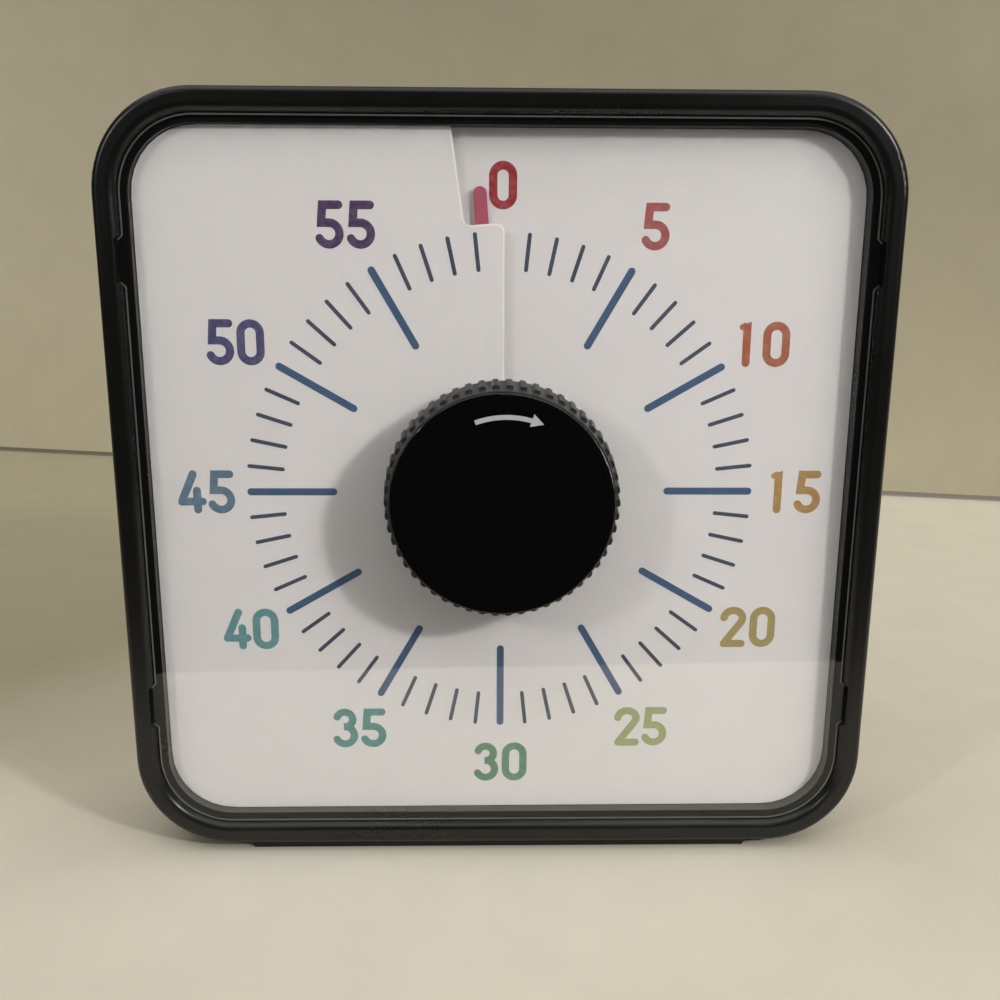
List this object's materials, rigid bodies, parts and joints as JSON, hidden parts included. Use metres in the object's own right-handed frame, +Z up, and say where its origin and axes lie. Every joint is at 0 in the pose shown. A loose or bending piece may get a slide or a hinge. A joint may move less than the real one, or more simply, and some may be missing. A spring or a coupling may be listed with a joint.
{
  "type": "visual countdown timer",
  "caption": "Square free-standing wind-up visual countdown timer: spiral dial with a coloured disc threading its slit, ribbed centre knob, clear lens and fold-out rear foot.",
  "frame": {"origin": "middle of the underside of the base, at the middle of the whole depth", "axes": "+X to the right seen from the front, +Y from the knob towards the rear face, +Z up"},
  "size_m": [0.1906, 0.0428, 0.1915],
  "materials": {
    "case_black": "satin black moulded ABS, fine texture",
    "lens_clear": "clear acrylic, polished",
    "dial_white": "matt off-white sheet, printed",
    "chassis_grey": "natural moulded plastic",
    "steel": "plated steel",
    "magnet_nickel": "nickel-plated magnet",
    "brass": "stamped brass",
    "grip_grey": "matt dark grey moulded plastic",
    "cap_black": "high-gloss black",
    "disc_red": "translucent-free red sheet",
    "gear_white": "natural acetal",
    "spring_blue": "blued spring steel",
    "bell_nickel": "nickel-plated steel"
  },
  "bodies": {
    "case": {"front_bezel": "case_black", "lens": "lens_clear", "dial_plate": "dial_white", "chassis_plate": "chassis_grey", "rear_cover": "case_black", "case_screws": "steel", "magnets": "magnet_nickel", "stand_pin": "steel", "front_movement_plate": "brass", "rear_movement_plate": "brass", "pillars": "brass", "pillar_nuts": "steel", "chassis_screws": "steel", "spring_post": "steel", "mainspring": "spring_blue", "hammer_pin": "steel", "bell": "bell_nickel", "bell_post": "brass", "bell_screw": "steel"},
    "knob": {"knob_body": "grip_grey", "knob_cap": "cap_black", "knob_screw": "steel", "main_arbor": "steel", "arbor_clip": "steel", "main_wheel": "brass", "clutch_spring": "steel", "strike_cam": "brass"},
    "disc": {"time_disc": "disc_red", "disc_hub": "gear_white"},
    "second_gear": {"second_wheel": "gear_white", "second_arbor": "steel"},
    "third_gear": {"third_wheel": "gear_white", "third_arbor": "steel"},
    "escape_gear": {"escape_wheel": "gear_white", "escape_arbor": "steel"},
    "pallets": {"pallet_lever": "steel", "pallet_arbor": "steel"},
    "hammer": {"hammer_lever": "steel", "hammer_head": "brass"},
    "stand": {"stand_foot": "case_black"}
  },
  "joints": [
    {"name": "knob_turn", "type": "hinge", "parent": "case", "child": "knob", "pos_m": [0, 0.00785, 0.09625], "axis": [0, 1, 0], "range_deg": [0, 360]},
    {"name": "disc_rise", "type": "slide", "parent": "knob", "child": "disc", "axis": [0, -1, 0], "range_m": [0, 0.00241]},
    {"name": "second_turn", "type": "hinge", "parent": "case", "child": "second_gear", "pos_m": [-0.0172, 0.00785, 0.0842], "axis": [0, 1, 0], "range_deg": [-2161, 1]},
    {"name": "third_turn", "type": "hinge", "parent": "case", "child": "third_gear", "pos_m": [-0.01138, 0.00785, 0.06957], "axis": [0, 1, 0], "range_deg": [-1, 12961]},
    {"name": "escape_turn", "type": "hinge", "parent": "case", "child": "escape_gear", "pos_m": [0.00194, 0.00785, 0.07233], "axis": [0, 1, 0], "range_deg": [-97201, 1]},
    {"name": "pallet_rock", "type": "hinge", "parent": "case", "child": "pallets", "pos_m": [0.01142, 0.00785, 0.07288], "axis": [0, 1, 0], "range_deg": [-3, 3]},
    {"name": "hammer_swing", "type": "hinge", "parent": "case", "child": "hammer", "pos_m": [0.0217, 0.00785, 0.09996], "axis": [0, 1, 0], "range_deg": [0, 9], "stiffness_Nm_per_rad": 0.02, "springref_deg": -5.73},
    {"name": "stand_fold", "type": "hinge", "parent": "case", "child": "stand", "pos_m": [0, 0.01815, 0.0033], "axis": [-1, 0, 0], "range_deg": [0, 90]}
  ],
  "couplings": [
    {"joint": "disc_rise", "follows": "knob_turn", "m_per_rad": 0.00038197},
    {"joint": "second_turn", "follows": "knob_turn", "ratio": -6},
    {"joint": "third_turn", "follows": "knob_turn", "ratio": 36},
    {"joint": "escape_turn", "follows": "knob_turn", "ratio": -270}
  ]
}
